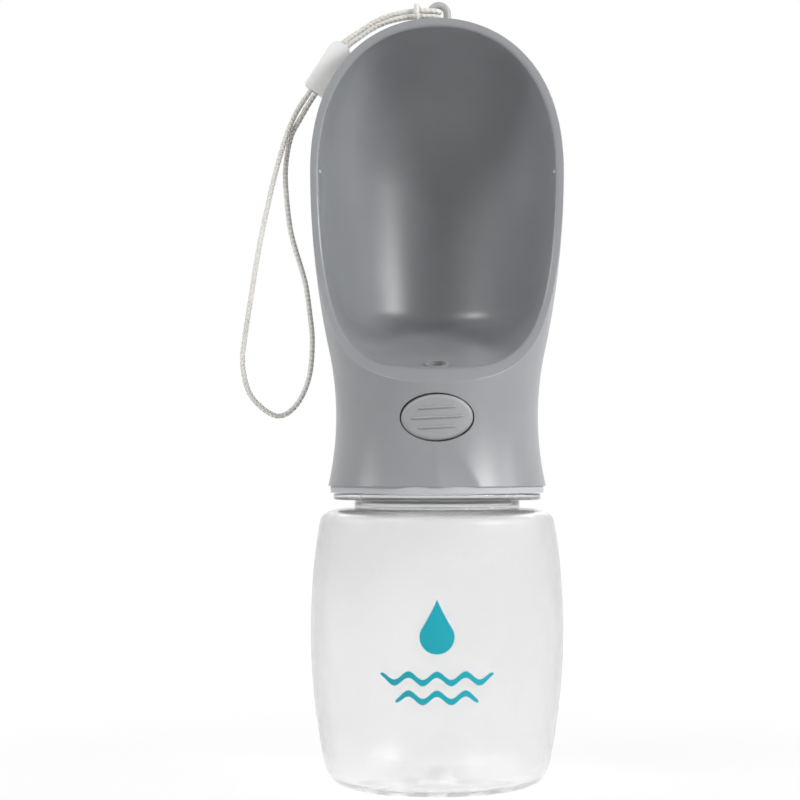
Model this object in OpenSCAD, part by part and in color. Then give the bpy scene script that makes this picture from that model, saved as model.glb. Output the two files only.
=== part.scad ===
// Dog travel water bottle: a clear squeeze bottle under a screw-on head with a drinking scoop.
// Pressing the oval button opens a valve, and water runs through a small outlet into the scoop.
// +Z is up, the front with the button faces -Y, and the origin is the centre of the foot ring.

/* [Bottle] */
// Largest radius of the bottle wall
bottle_r = 35; // [32:0.5:38]
// Height of that largest radius
bottle_mid_z = 43; // [38:0.5:48]
// Radius of the barrel-shaped wall, seen from the side
barrel_arc_r = 182; // [160:1:240]
// Height at which the wall turns into the shoulder
shoulder_z = 72.6; // [70:0.1:74]
// Height at which the wall turns into the bottom corner
corner_z = 8.5; // [6:0.1:12]
// Outward pull of the bottom corner's curve at the foot
foot_pull = 4.5; // [3:0.1:5]
// Downward pull of the bottom corner's curve at the wall
corner_pull = 4; // [2:0.1:5]
// Upward pull of the shoulder's curve at the wall
shoulder_pull = 3; // [1.5:0.1:3.4]
// Outward pull of the shoulder's curve at the neck
neck_pull = 6; // [3:0.1:7]
// Outer radius of the foot ring
foot_r = 25; // [22:0.5:27]
// Width of the foot ring
foot_w = 3.5; // [2:0.1:5]
// Height of the push-up in the base
push_up_h = 4; // [2:0.1:8]
// Wall thickness of the bottle
bottle_wall = 1.6; // [1:0.1:2.2]
// Height of the top of the shoulder
neck_base_z = 76.6; // [76:0.1:77.4]
// Height of the neck rim
neck_top_z = 90.2; // [89:0.1:90.4]
// Distance of the clear flange's edge inside the light ring's edge
flange_inset = 0.8; // [0.2:0.1:2]
// Height of the underside of the flange
flange_z = 79; // [78.4:0.1:79.2]
// Thickness of the flange
flange_t = 1.6; // [1:0.1:1.8]

/* [Closure] */
// Thickness of the silicone closure gasket
gasket_t = 1.5; // [1:0.1:2]
// Radial room between neck and closure, which the threads fill
thread_room = 1.5; // [1.3:0.1:1.6]
// Wall thickness of the closure collar
collar_wall = 1.5; // [1.2:0.1:1.6]
// Thickness of the closure top plate
plate_t = 2; // [1.6:0.1:2.2]
// Distance of the light ring's edge inside the edge of the head
ring_inset = 0.67; // [0:0.01:1.5]
// Thickness of the light ring
ring_t = 1.9; // [1.5:0.1:2]
// Gap between the bottle flange and the light ring
ring_gap = 0.3; // [0.2:0.05:0.5]
// Number of keys that turn the closure with the head
key_count = 4; // [2:1:8]
// Width of each key
key_w = 2.4; // [1.5:0.1:4]
// Height of each key
key_h = 2.7; // [2:0.1:4]
// Depth of the keys and of the snap bead
key_d = 1.4; // [1:0.1:1.6]
// Height of the snap bead above the ring
bead_lift = 5.2; // [4.5:0.1:6]

/* [Head] */
// Radius of the head at its waist
waist_r = 28; // [27.8:0.1:30]
// Height of the waist
waist_z = 102; // [100:0.5:104]
// Radius of the hollow curve of the waist, seen from the side
waist_arc_r = 86; // [80:1:110]
// Largest radius of the head
head_r = 35.2; // [34:0.1:37]
// Height of that largest radius
head_mid_z = 170; // [165:0.5:175]
// Overall height to the crown of the head
crown_z = 212.6; // [205:0.1:220]
// Upward pull of the dome curve at its side
dome_side_pull = 26; // [22:0.5:28]
// Sideways pull of the dome curve at its crown
dome_crown_pull = 22; // [18:0.5:24]
// Wall thickness of the hood
head_wall = 2.4; // [2:0.1:3]
// Wall thickness of the skirt
skirt_wall = 2.2; // [1.8:0.1:2.4]
// Distance from the collar's seat to the waist radius
seat_skin = 1.9; // [1.6:0.1:2.4]

/* [Scoop] */
// Height of the lip at the front of the waist
lip_z = 110.6; // [110.4:0.1:113]
// Slope of the lip cut
lip_slope = 24; // [20:0.5:28]
// Slope of the lip's bevelled top, at the front
lip_bevel = 45; // [40:1:50]
// Distance of the hood's rim in front of the axis
rim_y = 3; // [0:0.5:8]
// Radius of the hollow curve from the lip up to the rim, seen from the side
lip_hollow_r = 33; // [28:0.5:38]
// Slope at which the hollow curve turns into the long curve of the rim
rim_turn = 65; // [55:1:72]
// Height of the bowl floor above the lip, where it would meet the front wall
floor_lift = 2.46; // [2:0.01:5]
// Slope of the bowl floor
floor_slope = 19; // [17:0.5:21]
// Thickness of the bowl floor
floor_wall = 2.4; // [2:0.1:3]
// Thickness under the lip cut
lip_wall = 2.9; // [2.6:0.1:3.2]
// Radius of the hollow between bowl floor and walls
bowl_r = 18; // [14:0.5:19]
// Half width of the flat part of the bowl floor
bowl_flat = 13; // [11:0.5:14]
// Distance from the axis to the bowl's rear centre, up the slope
bowl_back = 8; // [6:0.5:8.5]

/* [Outlet] */
// Distance of the outlet behind the front of the waist
outlet_setback = 7.5; // [7:0.1:9]
// Radius of the hole in the outlet bush
outlet_r = 2.45; // [2.2:0.05:2.6]
// Outer radius of the outlet bush
bush_r = 3.2; // [3:0.05:3.6]
// Depth of the outlet bush
bush_h = 3.6; // [3:0.1:4]
// Height by which the bush stands above the floor
bush_proud = 0.2; // [0:0.05:0.4]
// Outer radius of the outlet pipe
pipe_r = 2.4; // [2.1:0.05:2.4]
// Inner radius of the outlet pipe
pipe_bore_r = 1.4; // [1.2:0.1:1.4]

/* [Button] */
// Height of the centre of the button
button_z = 101.2; // [101:0.1:101.5]
// Width of the button
button_w = 19.4; // [17:0.1:20]
// Height of the button
button_h = 12.5; // [11:0.1:12.6]
// Gap round the button
button_gap = 0.3; // [0.2:0.05:0.5]
// Height by which the button stands out of the wall
button_proud = 0.3; // [0:0.05:0.8]
// Rim that keeps the button in, beyond the hole
button_rim = 0.7; // [0.4:0.1:0.8]
// Thickness of that rim
button_rim_t = 0.8; // [0.6:0.1:1]
// Travel of the button
button_travel = 3; // [2:0.1:3]
// Spacing of the three grip ribs
rib_pitch = 2.6; // [2:0.1:3]
// Length of the middle grip rib
rib_l = 14.6; // [10:0.1:16]
// Length taken off the outer grip ribs
rib_short = 4.3; // [2:0.1:6]
// Width of a grip rib
rib_w = 0.5; // [0.3:0.05:1]
// Height of a grip rib
rib_h = 0.35; // [0.2:0.05:0.6]

/* [Valve] */
// Radius of the valve stem
stem_r = 2; // [1.8:0.05:2.1]
// Radius of the thin end of the stem
pin_r = 1.2; // [1:0.05:1.3]
// Running clearance of the stem in its guide
stem_gap = 0.08; // [0.05:0.01:0.1]
// Depth of the seal pocket in the barrel's front
pocket_d = 2.2; // [2.1:0.1:2.3]
// Radius of the seal pocket
pocket_r = 3.5; // [3.4:0.1:3.8]
// Thickness of the stem O-ring
o_ring_t = 1.2; // [1:0.05:1.25]
// Length of the stem guide
guide_l = 0.7; // [0.6:0.1:0.9]
// Radius of the front chamber
front_bore_r = 4; // [3.8:0.1:4.2]
// Length of the front chamber
front_bore_l = 8; // [7:0.5:9]
// Wall of the barrel round the front chamber
barrel_wall = 1.6; // [1.4:0.1:1.8]
// Radius of the hole in the valve seat
seat_r = 3.2; // [2.8:0.1:3.4]
// Thickness of the valve seat wall
seat_t = 2; // [1.5:0.1:2.5]
// Radius of the rear chamber
rear_bore_r = 5.6; // [5.4:0.1:5.8]
// Length of the rear chamber with its end cap
rear_bore_l = 17; // [16.5:0.5:18]
// Radius of the silicone valve disc
disc_r = 4.6; // [4.4:0.1:4.8]
// Thickness of the silicone valve disc
disc_t = 2; // [1.5:0.1:2.5]
// Thickness of the spring cup
cup_t = 1; // [0.8:0.1:1.2]
// Thickness of the retaining clip
clip_t = 0.6; // [0.5:0.05:0.8]
// Radius of the retaining clip
clip_r = 2.5; // [2.2:0.1:2.6]
// Mean radius of the return spring
spring_r = 3.6; // [3.4:0.1:3.8]
// Wire diameter of the return spring
wire_d = 0.6; // [0.4:0.05:0.7]
// Number of turns of the return spring
spring_turns = 5; // [4:1:7]
// Length of the end cap inside the barrel
end_cap_l = 2.8; // [2.6:0.1:3.2]
// Thickness of the end cap's flange
end_flange_t = 1.2; // [1:0.1:1.6]
// Radius of the water port in the plate
port_r = 2.8; // [2.4:0.1:3]

/* [Lanyard] */
// Sideways place of the cord eye
eye_x = 0.7; // [-1:0.1:2]
// Distance of the cord eye behind the axis
eye_y = 4; // [3:0.5:6]
// Mean radius of the arch of the eye
eye_arch_r = 2.35; // [2:0.05:2.6]
// Radius of the bar of the eye
eye_bar_r = 0.95; // [0.8:0.05:1]
// Height of the arch's centre above the crown
eye_lift = 2; // [1.8:0.1:2.4]
// Diameter of the wrist cord
cord_d = 1.5; // [1.2:0.1:1.5]
// Length of the cord slider
slider_l = 14.5; // [12:0.1:15]
// Width of the cord slider
slider_w = 6.1; // [5.8:0.1:6.5]
// Thickness of the cord slider
slider_t = 3.5; // [3.4:0.1:4]
// Sideways spacing of the two cords in the slider
strand_pitch = 1.7; // [1.6:0.05:1.8]
// Room round the cords in the slider
strand_gap = 0.2; // [0.15:0.05:0.3]

/* [Hidden] */
$fn = 96;
big = 300;

// Reach of a cutting solid past the face that it opens, and overlap of solids that join
over = 1;
sink = 0.5;

// Closure and neck, from the wall of the waist inwards
fit_gap = 0.2;
bead_h = 1.2;
collar_r = waist_r - seat_skin - fit_gap;
collar_bore_r = collar_r - collar_wall;
neck_r = collar_bore_r - thread_room;
plate_z = neck_top_z + gasket_t;
plate_top_z = plate_z + plate_t;
ring_z = flange_z + flange_t + ring_gap;
skirt_z = ring_z + ring_t;

// Button, in the front wall
button_face_r = waist_r + button_proud;
button_rim_r = waist_r - skirt_wall - fit_gap;
button_back_r = button_rim_r - button_rim_t;
socket_d = 2.2;
stem_front_y = -button_back_r - socket_d + fit_gap;

// Valve, along Y: its front face just clears the pressed button
front_barrel_r = front_bore_r + barrel_wall;
rear_barrel_r = rear_bore_r + barrel_wall;
barrel_front_y = button_travel + fit_gap - sqrt(pow(button_back_r, 2) - pow(front_barrel_r, 2));
pocket_y = barrel_front_y + pocket_d;
front_bore_y = pocket_y + guide_l;
seat_y = front_bore_y + front_bore_l;
rear_bore_y = seat_y + seat_t;
barrel_rear_y = rear_bore_y + rear_bore_l;
seat_gap = 0.05;
disc_y = rear_bore_y + seat_gap;
cup_y = disc_y + disc_t;
clip_y = cup_y + cup_t;
pin_end_y = clip_y + 2 * clip_t;
groove_d = 0.35;
spring_end_y = barrel_rear_y - end_cap_l;
end_groove_d = 1;
end_o_ring_t = 1.1;
port_y = (pin_end_y + spring_end_y) / 2;

// Outlet, on the bowl floor
floor_z = lip_z + floor_lift + waist_r * tan(floor_slope);
outlet_y = waist_r - outlet_setback;
outlet_floor_z = floor_z - outlet_y * tan(floor_slope);
pipe_sink = 1;
pipe_root = (button_z + front_bore_r - pipe_sink - outlet_floor_z) / cos(floor_slope);
saddle_h = button_z - front_bore_r - plate_z;

// Slider: its centre and the tilt of its long axis from upright
slider_at = [-30.7, 6, 199.3];
slider_lean = 33.4;
strand_x = strand_pitch / 2;

// A point on the cubic curve with end points a and d and handle points b and c
function curve(a, b, c, d, t) =
    pow(1 - t, 3) * a + 3 * t * pow(1 - t, 2) * b + 3 * t * t * (1 - t) * c + pow(t, 3) * d;

// Radius of the bottle wall at height z
function barrel_radius(z) =
    bottle_r - barrel_arc_r + sqrt(pow(barrel_arc_r, 2) - pow(z - bottle_mid_z, 2));

// The side of the head is a hollow arc below and a full arc above, tangent where they meet
side_rise = head_mid_z - waist_z;
side_step = head_r - waist_r;
both_arcs_r = (side_step * side_step + side_rise * side_rise) / (2 * side_step);
full_arc_r = both_arcs_r - waist_arc_r;
side_turn_z = waist_z + side_rise * waist_arc_r / both_arcs_r;

// Radius of the outside of the head at height z, up to its largest radius
function side_radius(z) =
    z < side_turn_z
        ? waist_r + waist_arc_r - sqrt(pow(waist_arc_r, 2) - pow(z - waist_z, 2))
        : head_r - full_arc_r + sqrt(pow(full_arc_r, 2) - pow(z - head_mid_z, 2));

// Light ring and clear flange, from the lower edge of the head inwards
ring_r = side_radius(skirt_z) - ring_inset;
flange_r = ring_r - flange_inset;

// Outline of the head from height z0 to the crown, moved inward by wall
function head_outline(z0, wall, side_steps, dome_steps) = [
    for (i = [0:side_steps - 1])
        let (z = z0 + (head_mid_z - z0) * i / side_steps) [side_radius(z) - wall, z],
    for (i = [0:dome_steps])
        curve(
            [head_r - wall, head_mid_z],
            [head_r - wall, head_mid_z + dome_side_pull],
            [dome_crown_pull, crown_z - wall],
            [0, crown_z - wall],
            i / dome_steps
        ),
];

// Solid of revolution of the head from height z0, moved inward by wall
module head_form(z0, wall, side_steps, dome_steps) {
    rotate_extrude()
        polygon(concat([[0, z0]], head_outline(z0, wall, side_steps, dome_steps)));
}

// Everything below a plane that crosses the axis at height z and rises to the back
module below_slope(z, slope) {
    translate([0, 0, z]) rotate([slope, 0, 0])
        translate([-big / 2, -big / 2, -big]) cube([big, big, big]);
}

// Raised lip: a low cone on the sloping cut, whose edge is the outer edge of the lip
module lip_cone() {
    rise = tan(lip_bevel - lip_slope);
    edge_r = waist_r / cos(lip_slope) + sink;
    root = 2;
    translate([0, 0, lip_z + waist_r * tan(lip_slope)]) rotate([lip_slope, 0, 0])
        translate([0, 0, -root])
            cylinder(h = edge_r / 2 * rise + root, r1 = edge_r + root / rise, r2 = edge_r / 2);
}

// Space that the mouth takes from the front of the head: its side view, less the lip. The side
// view is a straight lip, a hollow curve and a long curve that ends upright at the rim.
module mouth_cut() {
    hollow_steps = 8;
    rim_steps = 6;
    far_y = -big / 4;
    hollow = [for (i = [0:hollow_steps])
        let (a = lip_slope + (rim_turn - lip_slope) * i / hollow_steps)
        [-waist_r + lip_hollow_r * (sin(a) - sin(lip_slope)),
            lip_z + lip_hollow_r * (cos(lip_slope) - cos(a))]];
    turn = hollow[hollow_steps];
    rim_arc_r = (-rim_y - turn[0]) / (1 - sin(rim_turn));
    rim = [for (i = [1:rim_steps])
        let (a = rim_turn + (90 - rim_turn) * i / rim_steps)
        turn + rim_arc_r * [sin(a) - sin(rim_turn), cos(rim_turn) - cos(a)]];
    outline = concat(
        [[far_y, lip_z + (far_y + waist_r) * tan(lip_slope)]],
        hollow,
        rim,
        [[-rim_y, big], [far_y, big]]
    );
    difference() {
        rotate([90, 0, 90]) linear_extrude(big, center = true) polygon(outline);
        lip_cone();
    }
}

// Half cross-section of the bowl: flat floor, hollow corner and flaring wall
function bowl_outline(steps) =
    let (
        top_angle = 90 - floor_slope,
        wall_h = big / 2,
        corner = [for (i = [0:steps])
            let (a = top_angle * i / steps)
            [bowl_flat + bowl_r * sin(a), bowl_r * (1 - cos(a))]]
    )
    concat([[0, 0]], corner, [
        corner[steps] + wall_h * [cos(top_angle), sin(top_angle)],
        [0, corner[steps][1] + wall_h * sin(top_angle)],
    ]);

// Drinking bowl: a round-backed trough on a floor that falls to the front
module bowl() {
    intersection() {
        head_form(lip_z, head_wall, 10, 9);
        translate([0, 0, floor_z]) rotate([floor_slope, 0, 0]) translate([0, bowl_back, 0]) {
            rotate_extrude() polygon(bowl_outline(8));
            rotate([90, 0, 0]) linear_extrude(big / 4) {
                polygon(bowl_outline(8));
                mirror([1, 0]) polygon(bowl_outline(8));
            }
        }
    }
}

// Hollow of the skirt, up to the undersides of the bowl floor and of the lip
module skirt_hollow() {
    intersection() {
        head_form(plate_top_z - over, skirt_wall, 12, 1);
        below_slope(floor_z - floor_wall / cos(floor_slope), floor_slope);
        below_slope(lip_z + waist_r * tan(lip_slope) - lip_wall, lip_slope);
    }
}

// Oval prism of the button along Y, grown by margin
module button_oval(margin, depth) {
    points = [for (a = [0:7.5:352.5])
        [(button_w / 2 + margin) * cos(a), (button_h / 2 + margin) * sin(a)]];
    translate([0, 0, button_z]) rotate([90, 0, 0]) linear_extrude(depth) polygon(points);
}

// Shape or bore along the outlet, measured from the bowl floor along its normal
module along_outlet(from, to, r) {
    translate([0, -outlet_y, outlet_floor_z]) rotate([floor_slope, 0, 0])
        translate([0, 0, from]) cylinder(h = to - from, r = r);
}

// Round shape along Y on the valve axis
module along_valve(from, to, r) {
    translate([0, from, button_z]) rotate([-90, 0, 0]) cylinder(h = to - from, r = r);
}

// Ring of round section on the valve axis
module valve_o_ring(inner_r, thick, centre_y) {
    translate([0, centre_y, button_z]) rotate([90, 0, 0])
        rotate_extrude() translate([inner_r + thick / 2, 0]) circle(d = thick, $fn = 32);
}

// Keys on the collar, or with a margin their slots in the skirt
module keys(margin) {
    for (i = [0:key_count - 1]) rotate([0, 0, 45 + i * 360 / key_count])
        translate([collar_r - sink, -key_w / 2 - margin, skirt_z - margin])
            cube([sink + key_d + margin, key_w + 2 * margin, key_h + 2 * margin]);
}

// Clear bottle with push-up base, shoulder, neck and flange
module bottle() {
    wall_steps = 14;
    corner_steps = 6;
    corner_lean = (bottle_mid_z - corner_z) / barrel_arc_r;
    shoulder_lean = (shoulder_z - bottle_mid_z) / barrel_arc_r;
    function side(wall) = [for (i = [0:wall_steps])
        let (z = corner_z + (shoulder_z - corner_z) * i / wall_steps) [barrel_radius(z) - wall, z]];
    function corner(wall) =
        let (side_r = barrel_radius(corner_z) - wall)
        [for (i = [0:corner_steps - 1])
            curve([foot_r, wall], [foot_r + foot_pull, wall],
                [side_r - corner_lean * corner_pull, corner_z - corner_pull],
                [side_r, corner_z], i / corner_steps)];
    function shoulder(wall) =
        let (side_r = barrel_radius(shoulder_z) - wall, top_z = neck_base_z - wall)
        [for (i = [1:corner_steps])
            curve([side_r, shoulder_z],
                [side_r - shoulder_lean * shoulder_pull, shoulder_z + shoulder_pull],
                [neck_r + neck_pull - wall, top_z], [neck_r - wall, top_z], i / corner_steps)];
    function push_up(wall) = [for (i = [0:corner_steps])
        let (a = 90 * i / corner_steps)
        [(foot_r - foot_w) * cos(a), wall + push_up_h * sin(a)]];
    function reversed(list) = [for (i = [len(list) - 1:-1:0]) list[i]];
    neck = [
        [neck_r, flange_z], [flange_r, flange_z], [flange_r, flange_z + flange_t],
        [neck_r, flange_z + flange_t], [neck_r, neck_top_z],
    ];
    mouth = [[neck_r - bottle_wall, neck_top_z]];
    outside = concat(reversed(push_up(0)), corner(0), side(0), shoulder(0), neck);
    inside = concat(reversed(push_up(bottle_wall)), corner(bottle_wall), side(bottle_wall),
        shoulder(bottle_wall), mouth);
    color("azure", 0.4) rotate_extrude() polygon(concat(outside, reversed(inside)));
}

// Silicone ring between the neck rim and the closure plate
module closure_gasket() {
    color("white") translate([0, 0, neck_top_z]) difference() {
        cylinder(h = gasket_t, r = collar_bore_r - fit_gap);
        translate([0, 0, -over]) cylinder(h = gasket_t + 2 * over, r = neck_r - bottle_wall);
    }
}

// Screw closure with the light ring, the valve barrel and the outlet pipe
module inner_cap() {
    color("lightgray") difference() {
        union() {
            translate([0, 0, ring_z]) cylinder(h = ring_t, r = ring_r);
            translate([0, 0, ring_z]) cylinder(h = plate_top_z - ring_z, r = collar_r);
            translate([0, 0, skirt_z + bead_lift]) cylinder(h = bead_h, r = collar_r + key_d / 2);
            keys(0);
            along_valve(barrel_front_y, rear_bore_y, front_barrel_r);
            along_valve(seat_y, barrel_rear_y, rear_barrel_r);
            translate([-stem_r, barrel_front_y, plate_z + sink])
                cube([2 * stem_r, barrel_rear_y - barrel_front_y, saddle_h]);
            translate([0, port_y, plate_z]) cylinder(h = saddle_h, r = port_r + barrel_wall);
            along_outlet(pipe_root, -bush_h / 2, pipe_r);
        }
        translate([0, 0, ring_z - over]) cylinder(h = plate_z - ring_z + over, r = collar_bore_r);
        along_valve(barrel_front_y - over, pocket_y, pocket_r);
        along_valve(pocket_y - over, front_bore_y + over, stem_r + stem_gap);
        along_valve(front_bore_y, seat_y, front_bore_r);
        along_valve(seat_y - over, rear_bore_y + over, seat_r);
        along_valve(rear_bore_y, barrel_rear_y + over, rear_bore_r);
        along_outlet(pipe_root, over, pipe_bore_r);
        translate([0, port_y, plate_z - over]) cylinder(h = button_z - plate_z, r = port_r);
    }
}

// Grey head: skirt, bowl and hood in one moulding
module head_shell() {
    color("darkgray") difference() {
        head_form(skirt_z, 0, 20, 14);
        mouth_cut();
        bowl();
        skirt_hollow();
        translate([0, 0, skirt_z - over])
            cylinder(h = plate_top_z - skirt_z + over, r = collar_r + fit_gap);
        translate([0, 0, skirt_z + bead_lift - fit_gap])
            cylinder(h = bead_h + 2 * fit_gap, r = collar_r + key_d / 2 + fit_gap);
        keys(fit_gap);
        button_oval(button_gap, waist_r + over);
        along_outlet(-bush_h - lip_wall - over, over, bush_r);
        for (side = [-1, 1]) translate([eye_x + side * eye_arch_r, eye_y, crown_z - 2 * head_wall])
            cylinder(h = 3 * head_wall, r = eye_bar_r);
    }
}

// Silicone ring round the outlet, pressed into the bowl floor
module outlet_bush() {
    color("gainsboro") difference() {
        along_outlet(-bush_h, bush_proud, bush_r);
        along_outlet(-bush_h - over, bush_proud + over, outlet_r);
    }
}

// Oval push button with grip ribs and a retaining rim behind the wall
module button_cap() {
    module shell(outer_r, inner_r) {
        difference() {
            cylinder(h = big, r = outer_r);
            cylinder(h = big, r = inner_r);
        }
    }
    color("silver") difference() {
        union() {
            intersection() {
                button_oval(0, waist_r + over);
                shell(button_face_r, button_back_r);
            }
            intersection() {
                button_oval(button_gap + button_rim, waist_r + over);
                shell(button_rim_r, button_back_r);
            }
            for (i = [-1:1]) intersection() {
                translate([-(rib_l - abs(i) * rib_short) / 2, -big / 2,
                    button_z + i * rib_pitch - rib_w / 2])
                    cube([rib_l - abs(i) * rib_short, big / 2, rib_w]);
                shell(button_face_r + rib_h, button_face_r - sink);
            }
        }
        along_valve(stem_front_y - fit_gap, 0, stem_r);
    }
}

// Rod from the button through the seal, the front chamber and the seat
module valve_stem() {
    color("white") difference() {
        union() {
            along_valve(stem_front_y, disc_y, stem_r);
            along_valve(stem_front_y, pin_end_y, pin_r);
        }
        difference() {
            along_valve(clip_y, clip_y + clip_t, pin_r + over);
            along_valve(clip_y - over, clip_y + clip_t + over, pin_r - groove_d);
        }
    }
}

// Seal round the stem, in the barrel's front pocket
module stem_o_ring() {
    color("dimgray") valve_o_ring(stem_r + stem_gap, o_ring_t, pocket_y - o_ring_t / 2);
}

// Washer that closes the seal pocket
module gland_washer() {
    color("gainsboro") difference() {
        along_valve(barrel_front_y, pocket_y - o_ring_t, pocket_r);
        along_valve(barrel_front_y - over, pocket_y, stem_r + stem_gap);
    }
}

// Silicone disc that closes the seat from behind
module valve_seal() {
    color("tomato") difference() {
        along_valve(disc_y, cup_y, disc_r);
        along_valve(disc_y - over, cup_y + over, pin_r);
    }
}

// Cup behind the disc, which carries the spring
module spring_cup() {
    color("silver") difference() {
        along_valve(cup_y, clip_y, disc_r);
        along_valve(cup_y - over, clip_y + over, pin_r);
    }
}

// Open retaining ring in the groove of the stem
module stem_clip() {
    slot_w = 1.4;
    color("gray") difference() {
        along_valve(clip_y, clip_y + clip_t, clip_r);
        along_valve(clip_y - over, clip_y + clip_t + over, pin_r - groove_d);
        translate([-slot_w / 2, clip_y - over, button_z])
            cube([slot_w, clip_t + 2 * over, clip_r + over]);
    }
}

// Tube of round section along a list of points, with frames carried from ring to ring
module tube(points, r, sides) {
    count = len(points);
    function unit(v) = v / norm(v);
    function heading(i) = unit(points[min(i + 1, count - 1)] - points[max(i - 1, 0)]);
    function flatten_to(v, t) = unit(v - (v * t) * t);
    function frames(i, v, done) =
        i == count ? done : let (n = flatten_to(v, heading(i))) frames(i + 1, n, concat(done, [n]));
    first_side = [0.3, 1, 0.2];
    normals = frames(0, first_side, []);
    rings = [for (i = [0:count - 1])
        let (n = normals[i], b = cross(heading(i), n))
        for (k = [0:sides - 1]) let (a = 360 * k / sides) points[i] + r * (cos(a) * n + sin(a) * b)];
    walls = [for (i = [0:count - 2], k = [0:sides - 1])
        let (next = (k + 1) % sides)
        each [
            [i * sides + k, (i + 1) * sides + k, (i + 1) * sides + next],
            [i * sides + k, (i + 1) * sides + next, i * sides + next],
        ]];
    start = [for (k = [0:sides - 1]) k];
    end = [for (k = [sides - 1:-1:0]) (count - 1) * sides + k];
    polyhedron(rings, concat(walls, [start, end]));
}

// Compression spring between the cup and the end cap
module return_spring() {
    steps = 16;
    length = spring_end_y - clip_y - wire_d;
    path = [for (i = [0:spring_turns * steps])
        let (a = 360 * i / steps)
        [spring_r * cos(a), clip_y + wire_d / 2 + length * i / (spring_turns * steps),
            button_z + spring_r * sin(a)]];
    color("lightsteelblue") tube(path, wire_d / 2, 8);
}

// Plug that closes the rear of the barrel
module barrel_cap() {
    groove_y = (spring_end_y + barrel_rear_y) / 2;
    color("gainsboro") difference() {
        union() {
            along_valve(spring_end_y, barrel_rear_y + end_flange_t, rear_bore_r);
            along_valve(barrel_rear_y, barrel_rear_y + end_flange_t, rear_barrel_r);
        }
        difference() {
            along_valve(groove_y - end_o_ring_t / 2, groove_y + end_o_ring_t / 2,
                rear_bore_r + over);
            along_valve(spring_end_y, barrel_rear_y, rear_bore_r - end_groove_d);
        }
    }
}

// Seal in the groove of the end plug
module barrel_cap_o_ring() {
    color("dimgray") valve_o_ring(rear_bore_r - end_groove_d, end_groove_d,
        (spring_end_y + barrel_rear_y) / 2);
}

// Arch on the crown that the cord is hitched to
module lanyard_eye() {
    arch_z = crown_z + eye_lift;
    color("lightgray") translate([eye_x, eye_y, 0]) {
        translate([0, 0, arch_z]) rotate([90, 0, 0])
            rotate_extrude(angle = 180) translate([eye_arch_r, 0]) circle(r = eye_bar_r, $fn = 32);
        for (side = [-1, 1]) translate([side * eye_arch_r, 0, crown_z - head_wall])
            cylinder(h = arch_z - crown_z + head_wall, r = eye_bar_r);
    }
}

// Smooth path through hand-placed points, with one point added halfway along each span
function smooth(points) = [for (i = [0:len(points) - 2])
    let (
        a = points[max(i - 1, 0)], b = points[i],
        c = points[i + 1], d = points[min(i + 2, len(points) - 1)]
    )
    each [b, (9 * (b + c) - a - d) / 16]];

// Cord: up from the slider, hitched round the eye, back through the slider and round the loop
module wrist_cord() {
    route = [
        [-30.6, 6, 201], [-27.4, 6, 205.9], [-23, 6.6, 209.4], [-16.2, 5, 213.2],
        [-10.3, 3.2, 214.7], [-5.6, 2.4, 215.1], [-2.2, 1.9, 215.1], [0, 2.6, 215.1],
        [0.7, 4.1, 215.1], [-0.2, 5.6, 215.1], [-2.4, 6.4, 215.2], [-4.6, 5.9, 216],
        [-5.5, 3.9, 216.8], [-5.7, 1.6, 216.2], [-5.7, 0.7, 214.4], [-5.7, 1.4, 213],
        [-5.3, 4, 213.1], [-4.4, 5.9, 213.2], [-2.4, 6.4, 213.5], [-0.2, 5.6, 213.5],
        [0.7, 4.1, 213.5], [0, 2.6, 213.5], [-2.2, 1.9, 213.5], [-5.6, 2.4, 213.5],
        [-10.3, 3, 213.1], [-16.2, 4.4, 211.6], [-22.2, 5.4, 208], [-26, 6, 204.9],
        [-30, 6, 198.8], [-34, 6, 192.8], [-36.2, 6, 189.4], [-38.6, 6.2, 185.2],
        [-40.9, 6.5, 180.9], [-42.3, 6.7, 174.3], [-42.5, 6.6, 166.8], [-41.1, 6.3, 154.3],
        [-38.6, 6, 145.4], [-36.8, 6, 138.8], [-35.6, 6, 130.1], [-35, 6, 123.5],
        [-35.6, 6, 114.6], [-37.8, 5.6, 107.9], [-41.2, 5, 103.5], [-45.3, 4.6, 102.3],
        [-50.3, 4.5, 105.7], [-53.1, 4.5, 110.1], [-54.4, 4.5, 116.8], [-53.9, 4.5, 123.5],
        [-51.9, 4.5, 136.5], [-49.7, 4.6, 149.9], [-46.1, 4.8, 166.8], [-42.9, 5.1, 178.6],
        [-40.1, 5.6, 186], [-37.6, 6, 190.4], [-35.4, 6, 193.7], [-31.8, 6, 199.2],
    ];
    color("linen") tube(smooth(route), cord_d / 2, 8);
}

// Sleeve on the doubled cord, with one slot for both cords
module cord_slider() {
    round_r = 1.4;
    slot = [strand_pitch + cord_d + 2 * strand_gap, cord_d + 2 * strand_gap];
    color("whitesmoke") translate(slider_at) rotate([0, slider_lean, 0]) difference() {
        union() {
            cube([slider_w - 2 * round_r, slider_t, slider_l], center = true);
            cube([slider_w, slider_t, slider_l - 2 * round_r], center = true);
            for (x = [-1, 1], z = [-1, 1])
                translate([x * (slider_w / 2 - round_r), slider_t / 2, z * (slider_l / 2 - round_r)])
                    rotate([90, 0, 0]) cylinder(h = slider_t, r = round_r, $fn = 32);
        }
        cube([slot[0], slot[1], slider_l + over], center = true);
    }
}

bottle();
closure_gasket();
inner_cap();
head_shell();
outlet_bush();
button_cap();
valve_stem();
stem_o_ring();
gland_washer();
valve_seal();
spring_cup();
stem_clip();
return_spring();
barrel_cap();
barrel_cap_o_ring();
lanyard_eye();
wrist_cord();
cord_slider();
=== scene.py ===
# %% [markdown]
# # A dog's travel water bottle
# A clear squeeze bottle stands under a grey screw-on head. The head is a scoop: the dog drinks
# from a bowl inside a hood, and a push button lets water up into it. A braided cord hangs from
# an eye on the crown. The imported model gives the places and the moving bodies, and each visible
# part is modelled here again with the roundings and finishes that the plain solids lack.

import math

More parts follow.
